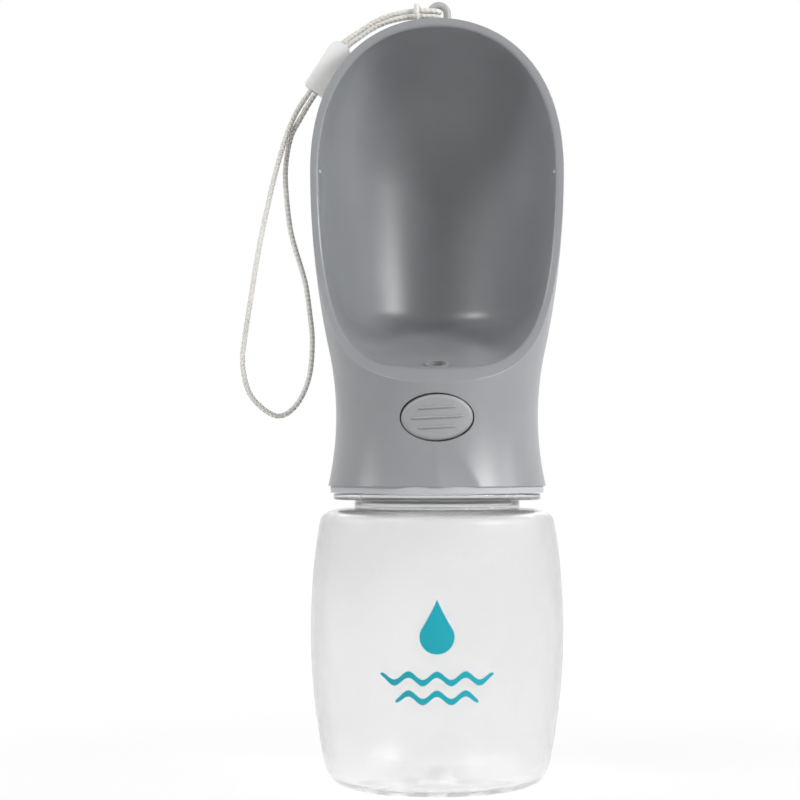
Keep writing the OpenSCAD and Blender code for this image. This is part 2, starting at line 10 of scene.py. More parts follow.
import bmesh
import bpy
import numpy as np
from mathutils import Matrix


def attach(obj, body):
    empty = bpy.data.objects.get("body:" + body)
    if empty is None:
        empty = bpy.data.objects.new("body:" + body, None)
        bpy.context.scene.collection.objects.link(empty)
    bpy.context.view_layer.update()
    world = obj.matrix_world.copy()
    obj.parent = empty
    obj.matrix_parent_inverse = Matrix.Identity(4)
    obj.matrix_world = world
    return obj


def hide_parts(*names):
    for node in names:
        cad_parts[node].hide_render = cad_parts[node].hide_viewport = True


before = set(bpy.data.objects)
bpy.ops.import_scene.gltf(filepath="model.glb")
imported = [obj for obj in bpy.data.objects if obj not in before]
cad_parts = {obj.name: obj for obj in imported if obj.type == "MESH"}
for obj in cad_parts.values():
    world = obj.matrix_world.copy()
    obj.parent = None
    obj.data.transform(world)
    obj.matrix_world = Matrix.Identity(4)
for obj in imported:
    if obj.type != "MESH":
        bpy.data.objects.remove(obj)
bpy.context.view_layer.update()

# %% [markdown]
# ## Camera
# The bottle is seen level, from about arm's length, with a long lens. A long lens keeps the
# sides of the bottle straight. The lens shift moves the object in the picture without tilting
# the camera, so that upright lines stay upright.

# %% Camera
camera_distance, camera_height = 0.6, 0.0885
focal_length, sensor_width = 97.2, 36
shift_right, shift_up = -0.0463, 0.0813
camera_data = bpy.data.cameras.new("camera")
camera = bpy.data.objects.new("camera", camera_data)
bpy.context.scene.collection.objects.link(camera)
camera.location = (0, -camera_distance, camera_height)
camera.rotation_euler = (math.radians(90), 0, 0)
camera_data.lens, camera_data.sensor_width = focal_length, sensor_width
camera_data.shift_x, camera_data.shift_y = shift_right, shift_up
camera_data.clip_start = 0.05
bpy.context.scene.camera = camera
print("camera lens", camera_data.lens)

# %% [markdown]
# ## Light and ground
# The bottle stands on a white ground between two soft boxes. The boxes are in front, one on each
# side, so that they leave two soft upright streaks in the hollow of the scoop and two on its
# outside. The right one is stronger. Two weak cards light the flanks, and two lamps behind keep
# the back from going dark. The world is white only for what is seen directly, in gloss or
# through the clear plastic, and gives little light itself. The floor glows white too, a little
# less close to the bottle, so that a faint shadow stays under it.

# %% Soft boxes
lamp_target, lamp_distance = np.array([0, 0, 0.11]), 1.0


def soft_box(name, azimuth, elevation, width, height, power):
    """An area lamp aimed at the middle of the bottle; azimuth 0 is the camera's side."""
    a, e = math.radians(azimuth), math.radians(elevation)
    bearing = np.array([math.sin(a) * math.cos(e), -math.cos(a) * math.cos(e), math.sin(e)])
    data = bpy.data.lights.new(name, "AREA")
    data.shape = "RECTANGLE"
    data.size, data.size_y, data.energy = width, height, power
    lamp = bpy.data.objects.new(name, data)
    bpy.context.scene.collection.objects.link(lamp)
    lamp.location = lamp_target + lamp_distance * bearing
    lamp.rotation_euler = (math.radians(90) - e, 0, a)


soft_box("box_right", 54, 24, 0.36, 0.24, 6.8)
soft_box("box_left", -48, 41, 0.20, 0.20, 3.3)
soft_box("card_right", 84, 18, 0.24, 0.24, 1.4)
soft_box("card_left", -80, 22, 0.24, 0.24, 1.9)
soft_box("back_right", 150, 42, 0.45, 0.45, 2.0)
soft_box("back_left", -150, 42, 0.45, 0.45, 2.0)
print("soft boxes stand round the bottle")

# %% White world
def backdrop_mix(nodes, links, plain, white):
    """Shows one shader to lit surfaces and a white one to the camera, gloss and clear plastic."""
    path = nodes.new("ShaderNodeLightPath")
    seen = nodes.new("ShaderNodeMath")
    seen.operation = "ADD"
    seen_all = nodes.new("ShaderNodeMath")
    seen_all.operation = "ADD"
    seen_all.use_clamp = True
    links.new(path.outputs["Is Camera Ray"], seen.inputs[0])
    links.new(path.outputs["Is Glossy Ray"], seen.inputs[1])
    links.new(seen.outputs[0], seen_all.inputs[0])
    links.new(path.outputs["Is Transmission Ray"], seen_all.inputs[1])
    mix = nodes.new("ShaderNodeMixShader")
    links.new(seen_all.outputs[0], mix.inputs[0])
    links.new(plain.outputs[0], mix.inputs[1])
    links.new(white.outputs[0], mix.inputs[2])
    return mix


world_fill = 0.02
world = bpy.data.worlds.new("white studio")
bpy.context.scene.world = world
world.use_nodes = True
nodes, links = world.node_tree.nodes, world.node_tree.links
nodes.clear()
fill, white = nodes.new("ShaderNodeBackground"), nodes.new("ShaderNodeBackground")
for background, strength in ((fill, world_fill), (white, 1)):
    background.inputs["Color"].default_value = (1, 1, 1, 1)
    background.inputs["Strength"].default_value = strength
out = nodes.new("ShaderNodeOutputWorld")
links.new(backdrop_mix(nodes, links, fill, white).outputs[0], out.inputs[0])
bpy.context.scene.view_settings.view_transform = "Standard"
print("world fill", world_fill)

# %% Floor
def deselect():
    """Nothing stays selected, so that the next operator acts only on its own piece."""
    if bpy.context.object and bpy.context.object.mode != "OBJECT":
        bpy.ops.object.mode_set(mode="OBJECT")
    bpy.ops.object.select_all(action="DESELECT")


floor_size, floor_white = 8, (0.93, 0.93, 0.93, 1)
fade_from, fade_to = 0.03, 0.2
glow_near, glow_far = 0.82, 1
deselect()
bpy.ops.mesh.primitive_plane_add(size=floor_size)
floor = bpy.context.object
floor.name = "floor"
floor_look = bpy.data.materials.new("pale floor")
floor_look.use_nodes = True
nodes, links = floor_look.node_tree.nodes, floor_look.node_tree.links
nodes.clear()
matt = nodes.new("ShaderNodeBsdfDiffuse")
matt.inputs["Color"].default_value = floor_white
glow = nodes.new("ShaderNodeEmission")
glow.inputs["Color"].default_value = (1, 1, 1, 1)
part_lit = nodes.new("ShaderNodeMixShader")
place = nodes.new("ShaderNodeTexCoord")
from_middle = nodes.new("ShaderNodeVectorMath")
from_middle.operation = "LENGTH"
links.new(place.outputs["Object"], from_middle.inputs[0])
fade = nodes.new("ShaderNodeMapRange")
for entry, value in (
    ("From Min", fade_from), ("From Max", fade_to), ("To Min", glow_near), ("To Max", glow_far),
):
    fade.inputs[entry].default_value = value
links.new(from_middle.outputs["Value"], fade.inputs["Value"])
links.new(fade.outputs[0], part_lit.inputs[0])
links.new(matt.outputs[0], part_lit.inputs[1])
links.new(glow.outputs[0], part_lit.inputs[2])
out = nodes.new("ShaderNodeOutputMaterial")
links.new(backdrop_mix(nodes, links, matt, part_lit).outputs[0], out.inputs[0])
floor.data.materials.append(floor_look)
print("floor laid")

# %% [markdown]
# ## Tools for shaping
# Most pieces here have a section that changes from one end to the other, which no cube,
# cylinder or spin gives. They are lofted: a flat grid is made, and its rows are laid, one after
# the other, on rings worked out for that piece. Each piece ends closed, with its doubles merged
# and its faces outward. Smaller helpers cut, round and smooth it.

# %% Finishing helpers
MM, merge_distance = 0.001, 0.000002


def make_active(piece):
    """Selects one piece alone, for the operators that follow."""
    deselect()
    piece.select_set(True)
    bpy.context.view_layer.objects.active = piece


def edit_all():
    """Opens the active piece for editing, with every vertex selected."""
    bpy.ops.object.mode_set(mode="EDIT")
    bpy.ops.mesh.select_mode(type="VERT")
    bpy.ops.mesh.select_all(action="SELECT")


def close_up():
    """Merges doubles and turns all faces of the active piece outward."""
    edit_all()
    bpy.ops.mesh.remove_doubles(threshold=merge_distance)
    bpy.ops.mesh.dissolve_degenerate(threshold=merge_distance)
    bpy.ops.mesh.select_all(action="SELECT")
    bpy.ops.mesh.normals_make_consistent(inside=False)
    bpy.ops.object.mode_set(mode="OBJECT")


def smooth(piece, angle):
    """Shades a piece smooth, but leaves the edges that are sharper than the angle."""
    make_active(piece)
    bpy.ops.object.shade_smooth_by_angle(angle=math.radians(angle))


def apply_modifier(piece, kind, **settings):
    """Adds one modifier with these settings and applies it at once."""
    make_active(piece)
    modifier = piece.modifiers.new(kind.lower(), kind)
    for key, value in settings.items():
        setattr(modifier, key, value)
    bpy.ops.object.modifier_apply(modifier=modifier.name)


def cut(piece, cutter, operation="DIFFERENCE"):
    """Cuts or joins with another piece, which is used up."""
    apply_modifier(piece, "BOOLEAN", object=cutter, operation=operation, solver="EXACT")
    bpy.data.objects.remove(cutter)


def soften(piece, width, segments, angle):
    """Rounds every edge that is sharper than the angle; width in millimetres."""
    apply_modifier(
        piece, "BEVEL", width=width * MM, segments=segments, limit_method="ANGLE",
        angle_limit=math.radians(angle), use_clamp_overlap=True,
    )


print("finishing helpers ready")


# %% Lofting rings
def lofted(name, rings):
    """Lays the rows of a grid on rings of points in millimetres; a ring closes on itself."""
    rows, around = len(rings), len(rings[0])
    deselect()
    bpy.ops.mesh.primitive_grid_add(x_subdivisions=around, y_subdivisions=rows - 1, size=2)
    piece = bpy.context.object
    piece.name = name
    for vertex in piece.data.vertices:
        i = round((vertex.co.x + 1) / 2 * around) % around
        j = round((vertex.co.y + 1) / 2 * (rows - 1))
        vertex.co = np.array(rings[j][i]) * MM
    close_up()
    return piece


print("lofting ready")

# %% [markdown]
# ## Finishes
# Moulded plastic is never one flat colour. Each finish has a faint cloud of lighter and darker
# tone, a fine grain from the mould in its bump, and a little change in gloss. The noise reads
# Object coordinates, so it stays put on the piece at its real size.

# %% Moulded plastic
cloud_scale, cloud_low, cloud_high = 60, 0.3, 0.7
grain_depth, grain_gloss = 0.1, 0.02


def moulded(name, colour, roughness, cloud=0.04, grain_size=0.25, bump=0.05):
    """Plastic whose tone varies by cloud, with a grain of this size in millimetres in its bump."""
    look = bpy.data.materials.new(name)
    look.use_nodes = True
    nodes, links = look.node_tree.nodes, look.node_tree.links
    shader = nodes["Principled BSDF"]
    place = nodes.new("ShaderNodeTexCoord")
    clouds = nodes.new("ShaderNodeTexNoise")
    clouds.inputs["Scale"].default_value = cloud_scale
    clouds.inputs["Detail"].default_value = 4
    links.new(place.outputs["Object"], clouds.inputs["Vector"])
    tone = nodes.new("ShaderNodeValToRGB")
    stops = (cloud_low, 1 - cloud), (cloud_high, 1 + cloud)
    for stop, (position, share) in zip(tone.color_ramp.elements, stops):
        stop.position, stop.color = position, tuple(c * share for c in colour) + (1,)
    links.new(clouds.outputs["Fac"], tone.inputs[0])
    links.new(tone.outputs[0], shader.inputs["Base Color"])
    grains = nodes.new("ShaderNodeTexNoise")
    grains.inputs["Scale"].default_value = 1 / (grain_size * MM)
    grains.inputs["Detail"].default_value = 2
    links.new(place.outputs["Object"], grains.inputs["Vector"])
    gloss = nodes.new("ShaderNodeMapRange")
    gloss.inputs["To Min"].default_value = roughness - grain_gloss
    gloss.inputs["To Max"].default_value = roughness + grain_gloss
    links.new(grains.outputs["Fac"], gloss.inputs["Value"])
    links.new(gloss.outputs[0], shader.inputs["Roughness"])
    relief = nodes.new("ShaderNodeBump")
    relief.inputs["Strength"].default_value = bump
    relief.inputs["Distance"].default_value = grain_depth * MM
    links.new(grains.outputs["Fac"], relief.inputs["Height"])
    links.new(relief.outputs[0], shader.inputs["Normal"])
    return look


def srgb(*values):
    """Linear colour from the 0 to 255 values of a paint program."""
    return tuple(((v / 255 + 0.055) / 1.055) ** 2.4 for v in values)


grey_plastic = moulded("grey plastic", srgb(148, 150, 153), roughness=0.33, bump=0.12)
button_plastic = moulded("button plastic", srgb(158, 160, 161), roughness=0.45, bump=0.1)
light_plastic = moulded("light grey plastic", srgb(196, 199, 201), roughness=0.35)
ring_plastic = moulded("ring plastic", srgb(190, 192, 197), roughness=0.5)
white_plastic = moulded("white plastic", srgb(226, 226, 224), roughness=0.35)
sleeve_plastic = moulded("sleeve plastic", srgb(246, 246, 243), roughness=0.38)
eye_plastic = moulded("eye plastic", srgb(180, 179, 176), roughness=0.4)
silicone = moulded("silicone", srgb(212, 213, 216), roughness=0.55, cloud=0.03)
grey_silicone = moulded("grey silicone", srgb(152, 153, 155), roughness=0.5, cloud=0.03)
rubber = moulded("black rubber", srgb(46, 46, 48), roughness=0.6, cloud=0.1)
steel = moulded("steel", srgb(190, 190, 192), roughness=0.25, cloud=0.05, grain_size=0.1)
steel.node_tree.nodes["Principled BSDF"].inputs["Metallic"].default_value = 1
print("plastic, silicone, rubber and steel mixed")

# %% [markdown]
# ### Clear plastic
# The bottle is blown from a clear plastic with a real wall, so light bends at four faces on its
# way through. Blown plastic is never as clear as glass: its faces are a little wavy and rough,
# and a share of haze scatters light in the wall. The neck and the foot stay glossier than the
# barrel between them. Lamps are let through with a see-through shader, which only shadow rays
# meet, because the wall would otherwise throw a solid shadow.

# %% Clear plastic
dull_stops = (3, 0.45), (20, 1), (75, 1), (77, 0.3)
ramp_height = 100
refraction, mirror_level, shadow_grey = 1.49, 0.15, 0.9
wave_scale, wave_bump, wave_depth = 90, 0.15, 0.2


def clear(name, tint, roughness, haze):
    """Clear plastic, as dulled at each height in millimetres as dull_stops says."""
    look = bpy.data.materials.new(name)
    look.use_nodes = True
    nodes, links = look.node_tree.nodes, look.node_tree.links
    shader = nodes["Principled BSDF"]
    shader.inputs["Base Color"].default_value = tint + (1,)
    shader.inputs["IOR"].default_value = refraction
    shader.inputs["Specular IOR Level"].default_value = mirror_level
    place = nodes.new("ShaderNodeTexCoord")
    height = nodes.new("ShaderNodeSeparateXYZ")
    links.new(place.outputs["Object"], height.inputs[0])
    dull = nodes.new("ShaderNodeValToRGB")
    ramp = dull.color_ramp.elements
    for between in (0.3, 0.8):
        ramp.new(between)
    for stop, (z, share) in zip(ramp, dull_stops):
        stop.position, stop.color = z / ramp_height, (share, share, share, 1)
    scaled = nodes.new("ShaderNodeMath")
    scaled.operation = "MULTIPLY"
    scaled.inputs[1].default_value = 1 / (ramp_height * MM)
    links.new(height.outputs["Z"], scaled.inputs[0])
    links.new(scaled.outputs[0], dull.inputs[0])
    for entry, shiny, dulled in (
        ("Roughness", 0.05, roughness), ("Transmission Weight", 0.97, 1 - haze),
        ("Specular Tint", 0.9, 0.2),
    ):
        level = nodes.new("ShaderNodeMapRange")
        level.inputs["To Min"].default_value = shiny
        level.inputs["To Max"].default_value = dulled
        links.new(dull.outputs[0], level.inputs["Value"])
        links.new(level.outputs[0], shader.inputs[entry])
    waves = nodes.new("ShaderNodeTexNoise")
    waves.inputs["Scale"].default_value = wave_scale
    waves.inputs["Detail"].default_value = 1
    links.new(place.outputs["Object"], waves.inputs["Vector"])
    relief = nodes.new("ShaderNodeBump")
    relief.inputs["Strength"].default_value = wave_bump
    relief.inputs["Distance"].default_value = wave_depth * MM
    links.new(waves.outputs["Fac"], relief.inputs["Height"])
    links.new(relief.outputs[0], shader.inputs["Normal"])
    through = nodes.new("ShaderNodeBsdfTransparent")
    through.inputs["Color"].default_value = (shadow_grey,) * 3 + (1,)
    path = nodes.new("ShaderNodeLightPath")
    mix = nodes.new("ShaderNodeMixShader")
    links.new(path.outputs["Is Shadow Ray"], mix.inputs[0])
    links.new(shader.outputs[0], mix.inputs[1])
    links.new(through.outputs[0], mix.inputs[2])
    links.new(mix.outputs[0], nodes["Material Output"].inputs["Surface"])
    return look


clear_plastic = clear("clear plastic", (0.88, 0.88, 0.88), roughness=0.22, haze=0.11)
print("clear plastic mixed")

# %% [markdown]
# ### Handing in a piece
# Every finished piece gets one material, rides on the body that it moves with, and hides the
# CAD solid that it stands for. One helper does this for them all, so that none is forgotten.

# %% Handing in a piece
def hand_in(piece, look, body, slot, *nodes_replaced):
    """Gives a finished piece its material and its body, and hides the CAD nodes it stands for;
    slot is not used.
    """
    piece.data.materials.clear()
    piece.data.materials.append(look)
    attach(piece, body)
    if nodes_replaced:
        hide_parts(*nodes_replaced)
    size = np.ptp([v.co for v in piece.data.vertices], axis=0) / MM
    print(piece.name, len(piece.data.polygons), "faces", np.round(size, 1), "mm")


print("hand-in ready")

# %% [markdown]
# ## Wrist cord
# The cord is a braid about 1.5 mm thick. It leaves the slider, is hitched round the eye on the
# crown, comes back through the slider and closes in the hanging loop. A curve with a round bevel
# would be quick, but its surface is bare, so the cord is a tube built ring by ring along its
# route, with the plaits of the braid raised on it.

# %% Route of the cord
cord_d = 1.5
route = [
    (-30.6, 6, 201), (-27.4, 6, 205.9), (-23, 6.6, 209.4), (-16.2, 5, 213.2),
    (-10.3, 3.2, 214.7), (-5.6, 2.4, 215.1), (-2.2, 1.9, 215.1), (0, 2.6, 215.1),
    (0.7, 4.1, 215.1), (-0.2, 5.6, 215.1), (-2.4, 6.4, 215.2), (-4.6, 5.9, 216),
    (-5.5, 3.9, 216.8), (-5.7, 1.6, 216.2), (-5.7, 0.7, 214.4), (-5.7, 1.4, 213),
    (-5.3, 4, 213.1), (-4.4, 5.9, 213.2), (-2.4, 6.4, 213.5), (-0.2, 5.6, 213.5),
    (0.7, 4.1, 213.5), (0, 2.6, 213.5), (-2.2, 1.9, 213.5), (-5.6, 2.4, 213.5),
    (-10.3, 3, 213.1), (-16.2, 4.4, 211.6), (-22.2, 5.4, 208), (-26, 6, 204.9),
    (-30, 6, 198.8), (-34, 6, 192.8), (-36.2, 6, 189.4), (-38.6, 6.2, 185.2),
    (-40.9, 6.5, 180.9), (-42.3, 6.7, 174.3), (-42.5, 6.6, 166.8), (-41.1, 6.3, 154.3),
    (-38.6, 6, 145.4), (-36.8, 6, 138.8), (-35.6, 6, 130.1), (-35, 6, 123.5),
    (-35.6, 6, 114.6), (-37.8, 5.6, 107.9), (-41.2, 5, 103.5), (-45.3, 4.6, 102.3),
    (-50.3, 4.5, 105.7), (-53.1, 4.5, 110.1), (-54.4, 4.5, 116.8), (-53.9, 4.5, 123.5),
    (-51.9, 4.5, 136.5), (-49.7, 4.6, 149.9), (-46.1, 4.8, 166.8), (-42.9, 5.1, 178.6),
    (-40.1, 5.6, 186), (-37.6, 6, 190.4), (-35.4, 6, 193.7), (-31.8, 6, 199.2),
]


def rounded_route(points, rounds):
    """Adds a point halfway along each span, on the smooth curve through its neighbours."""
    points = np.array(points, float)
    for _ in range(rounds):
        before = np.vstack([points[:1], points[:-2]])
        after = np.vstack([points[2:], points[-1:]])
        middle = (9 * (points[:-1] + points[1:]) - before - after) / 16
        longer = np.empty((2 * len(points) - 1, 3))
        longer[0::2], longer[1::2] = points, middle
        points = longer
    return points


smooth_route = rounded_route(route, 4)
cord_length = float(np.linalg.norm(np.diff(smooth_route, axis=0), axis=1).sum())
print("cord length", round(cord_length, 1), "mm")


# %% Braided tube
def evenly(points, count):
    """The same line with count points at equal steps along it."""
    points = np.array(points, float)
    run = np.concatenate([[0], np.cumsum(np.linalg.norm(np.diff(points, axis=0), axis=1))])
    at = np.linspace(0, run[-1], count)
    return np.stack([np.interp(at, run, points[:, k]) for k in range(3)], axis=1)


def sides_along(points):
    """Two directions across the line at each point, carried along without twisting."""
    heading = np.gradient(points, axis=0)
    heading /= np.linalg.norm(heading, axis=1)[:, None]
    side = np.cross(heading[0], (0.3, 1, 0.2))
    sides = []
    for h in heading:
        side = side - side.dot(h) * h
        side = side / np.linalg.norm(side)
        sides.append(side)
    return sides, np.cross(heading, sides)


plait_pitch, plait_h, ring_step, ring_points = 1.3, 0.12, 0.17, 20
centre = evenly(smooth_route, int(cord_length / ring_step))
sides, ups = sides_along(centre)
around = np.linspace(0, 2 * math.pi, ring_points, endpoint=False)
run = np.linspace(0, cord_length, len(centre))[:, None]
phase = 2 * math.pi * run / plait_pitch
plaits = np.maximum(np.cos(2 * around + phase), np.cos(2 * around - phase + math.pi / 2))
radius = cord_d / 2 - plait_h + plait_h * plaits
tube = [
    c + r[:, None] * (np.cos(around)[:, None] * s + np.sin(around)[:, None] * u)
    for c, r, s, u in zip(centre, radius, sides, ups)
]
start, end = [centre[0]] * ring_points, [centre[-1]] * ring_points
cord = lofted("cord_braided", [start] + tube + [end])
smooth(cord, 80)
print("cord rings", len(centre))

# %% [markdown]
# ### Braid finish
# The cord is spun from pale grey-beige yarn. Its colour changes from yarn to yarn, so the tone
# follows fine noise, and a little sheen stands for the loose fibres.

# %% Braid
braid = moulded(
    "braid", srgb(236, 233, 227), roughness=0.8, cloud=0.09, grain_size=0.12, bump=0.4
)
braid.node_tree.nodes["Principled BSDF"].inputs["Sheen Weight"].default_value = 0.25
hand_in(cord, braid, "head", "cord", "wrist_cord")

# %% [markdown]
# ## Head
# The head is one moulding: a waisted skirt, a hood and a drinking bowl. Its outside is turned,
# but the mouth cuts across it, so no single spin gives it. It is lofted instead. The rings start
# in the middle of the bowl, run out over the rim and down the outside to the lower edge, then go
# up inside the skirt and close under the bowl. The rim stays one clean loop that a bevel rounds,
# and the button hole and the outlet are cut last. Two small light pips sit inside the rim.

# %% Outside of the head
waist_r, waist_z, waist_arc_r = 28, 102, 86
head_r, head_mid_z, crown_z = 35.2, 170, 212.3
side_rise, side_step = head_mid_z - waist_z, head_r - waist_r
both_arcs_r = (side_step**2 + side_rise**2) / (2 * side_step)
full_arc_r = both_arcs_r - waist_arc_r
turn_z = waist_z + side_rise * waist_arc_r / both_arcs_r
dome_points = 800


def cubic(a, b, c, d, count):
    """Points on the smooth curve from a to d that b and c pull at."""
    t = np.linspace(0, 1, count)[:, None]
    a, b, c, d = map(np.array, (a, b, c, d))
    return (1 - t) ** 3 * a + 3 * t * (1 - t) ** 2 * b + 3 * t * t * (1 - t) * c + t**3 * d


def dome(wall):
    """Points (radius, height) of the dome, side to crown; inside, the shoulders are thicker."""
    side_pull, top_pull, top_z = (22, 22, crown_z - 0.2 - wall) if wall else (31, 16.5, crown_z)
    side_r = head_r - wall
    return cubic(
        (side_r, head_mid_z), (side_r, head_mid_z + side_pull), (top_pull, top_z), (0, top_z),
        dome_points,
    )


def head_radius(z, wall=0.0):
    """Radius of the head at height z, moved in by wall."""
    z = np.asarray(z, float)
    low = waist_r + waist_arc_r - np.sqrt(np.maximum(waist_arc_r**2 - (z - waist_z) ** 2, 0))
    high = head_r - full_arc_r + np.sqrt(np.maximum(full_arc_r**2 - (z - head_mid_z) ** 2, 0))
    curve = dome(wall)
    top = np.sqrt(np.maximum(np.interp(z, curve[:, 1], curve[:, 0] ** 2, right=0), 0))
    return np.where(z > head_mid_z, top, np.where(z < turn_z, low, high) - wall)


print("the head turns from hollow to full at", round(turn_z, 1), "mm")

# %% Side view of the mouth
lip_z, lip_slope, rim_y, skirt_z = 110.6, math.radians(24), 3.0, 82.8
lip_hollow_r, rim_turn, arc_points = 33.0, math.radians(65), 80
turn_y = -waist_r + lip_hollow_r * (math.sin(rim_turn) - math.sin(lip_slope))
rim_arc_r = (-rim_y - turn_y) / (1 - math.sin(rim_turn))
hollow_slopes = np.linspace(lip_slope, rim_turn, arc_points)
rim_slopes = np.linspace(rim_turn, math.pi / 2, arc_points)
slopes = np.concatenate([hollow_slopes, rim_slopes[1:]])
slope_y = np.concatenate([
    -waist_r + lip_hollow_r * (np.sin(hollow_slopes) - math.sin(lip_slope)),
    -rim_y - rim_arc_r * (1 - np.sin(rim_slopes[1:])),
])


def cut_line(t):
    """Points (y, z) of a cut, from the front of the waist back: level at 0, the mouth at 1."""
    rise = np.tan(t * (slopes[1:] + slopes[:-1]) / 2) * np.diff(slope_y)
    front_z = skirt_z + (lip_z - skirt_z) * t
    return np.stack([slope_y, front_z + np.concatenate([[0], np.cumsum(rise)])], 1)


mouth = cut_line(1)
print("the mouth ends upright at", np.round(mouth[-1], 1), "mm")

# %% Rings of the outside
around_half, outer_rows = 112, 60
last_run, last_points = 160, 6000


def side_cut(t):
    """Side view (y, z) of a whole cut, from the front of the head to its back."""
    line = cut_line(t)
    tip_z = line[0, 1]
    for _ in range(3):
        tip_z = line[0, 1] - (float(head_radius(tip_z)) - waist_r) * math.tan(lip_slope * t)
    tip = [-float(head_radius(tip_z)), tip_z]
    steep = math.radians(90) * t
    run = np.linspace(0, last_run, last_points)[:, None]
    last = line[-1] + run * (math.cos(steep), math.sin(steep))
    inside = np.abs(last[:, 0]) <= head_radius(last[:, 1])
    return np.vstack([tip, line, last[1 : int(np.argmin(inside))]])


def ring_on_head(line):
    """Closes a side view line to a ring on the outside of the head, evenly spaced."""
    y, z = line[:, 0], line[:, 1]
    x = np.sqrt(np.maximum(head_radius(z) ** 2 - y**2, 0))
    x[0] = x[-1] = 0
    half = evenly(np.stack([x, y, z], 1), around_half + 1)
    other = half[-2:0:-1] * (-1, 1, 1)
    return np.vstack([half, other])


outside = [ring_on_head(side_cut(t)) for t in np.linspace(1, 0, outer_rows)]
print(len(outside), "rings of", len(outside[0]), "points")

# %% [markdown]
# ### Bowl
# The bowl is where two forms meet: the inside of the hood, and a trough whose floor falls to the
# front and whose sides rise in a hollow of 18 mm. A boolean would leave a hard seam between
# them. Here each form tells how deep a point lies inside it, and the smaller depth counts. The
# two are blended softly, so that the floor runs into the wall as it does in a real moulding.

# %% Depth of the bowl
floor_z, floor_slope, hood_wall = 120.9, math.radians(15), 2.4
bowl_flat, bowl_corner_r, bowl_rear_y, bowl_blend = 12.0, 18.0, 11.59, 3.0


def soft_minimum(a, b, blend):
    """The smaller of two depths, blended where they are within this much of each other."""
    mix = np.clip(0.5 + 0.5 * (a - b) / blend, 0, 1)
    return a * (1 - mix) + b * mix - blend * mix * (1 - mix)


def trough_rise(across):
    """Height of the trough's side above its floor, at a distance from its middle."""
    steep = math.pi / 2 - floor_slope
    d = np.maximum(np.abs(across) - bowl_flat, 0)
    end = bowl_corner_r * math.sin(steep)
    hollow = bowl_corner_r - np.sqrt(np.maximum(bowl_corner_r**2 - np.minimum(d, end) ** 2, 0))
    return hollow + np.maximum(d - end, 0) * math.tan(steep)


def trough_z(x, y):
    """Height of the trough at a point; behind its rear end it is turned about that end."""
    across = np.where(y < bowl_rear_y, np.abs(x), np.hypot(x, y - bowl_rear_y))
    return floor_z + y * math.tan(floor_slope) + trough_rise(across) / math.cos(floor_slope)


def inside_bowl(x, y, z):
    """How deep a point lies inside the bowl: the smaller of two depths, softly blended."""
    from_wall = head_radius(z, hood_wall) - np.hypot(x, y)
    from_floor = (z - trough_z(x, y)) * math.cos(floor_slope)
    return soft_minimum(from_wall, from_floor, bowl_blend)


print("depth at the middle of the bowl", np.round(inside_bowl(0.0, 0.0, 160.0), 1), "mm")

# %% Lines from the rim to the middle of the bowl
bowl_rows, bowl_middle, bowl_centre_y, lip_blend = 52, 158.0, -2.0, 4.0
lip_bevel = math.radians(45)
lip_edge_r = waist_r / math.cos(lip_slope) + 0.5
lowest_turn, turn_steps, longest_reach, halvings = -70, 480, 90, 26


def above_mouth(x, y, z):
    """Positive where the mouth has been cut away: above the lip and in front of the rim."""
    reach = np.hypot(x, y / math.cos(lip_slope))
    raised = np.maximum(lip_edge_r - reach, 0) * math.tan(lip_bevel - lip_slope)
    lip = lip_z + (y + waist_r) * math.tan(lip_slope) + raised / math.cos(lip_slope)
    ahead = np.interp(z, mouth[:, 1], mouth[:, 0]) - y
    return soft_minimum(ahead, z - lip, lip_blend)


heading = outside[0][:, [0, 2]] - (0, bowl_middle)
heading = (heading / np.linalg.norm(heading, axis=1)[:, None])[:, None, :]
turn = np.radians(np.linspace(lowest_turn, 90, turn_steps))[None, :]


def at_reach(reach):
    """Points at this reach from the bowl's centre, for every heading and every turn."""
    out = reach * np.cos(turn)
    x, z = out * heading[..., 0], bowl_middle + out * heading[..., 1]
    return x, bowl_centre_y + reach * np.sin(turn), z


near = np.zeros((len(heading), turn.shape[1]))
far = near + longest_reach
for _ in range(halvings):
    middle = (near + far) / 2
    free = inside_bowl(*at_reach(middle)) > 0
    near, far = np.where(free, middle, near), np.where(free, far, middle)
surface = np.stack(at_reach(near), -1)
gone = above_mouth(*np.moveaxis(surface, -1, 0))
bowl_lines = []
for line, past in zip(surface, gone):
    k = int(np.flatnonzero(past > 0)[-1])
    share = past[k] / (past[k] - past[k + 1])
    edge = line[k] + share * (line[k + 1] - line[k])
    bowl_lines.append(evenly(np.vstack([edge, line[k + 1 :]]), bowl_rows))
bowl_lines = np.array(bowl_lines)
bowl = [bowl_lines[:, k] for k in range(bowl_rows - 1, -1, -1)]
print("bowl of", bowl_lines.shape[0], "lines of", bowl_lines.shape[1], "points")

# %% Underside and inside of the skirt
seat_r, seat_top_z, skirt_wall, lip_wall = 26.1, 93.9, 2.2, 2.9
bearing = outside[-1][:, :2] / np.linalg.norm(outside[-1][:, :2], axis=1)[:, None]


def level_ring(radius, z):
    """Ring of this radius about the z axis, with a point under each point of the outside."""
    z = np.broadcast_to(z, len(bearing))
    return np.column_stack([bearing * np.reshape(radius, (-1, 1)), z])


def ceiling(y):
    """Height of the roof of the skirt, under the bowl floor and under the lip."""
    under_floor = floor_z - hood_wall / math.cos(floor_slope) + y * math.tan(floor_slope)
    under_lip = lip_z + waist_r * math.tan(lip_slope) - lip_wall + y * math.tan(lip_slope)
    return np.minimum(under_floor, under_lip)


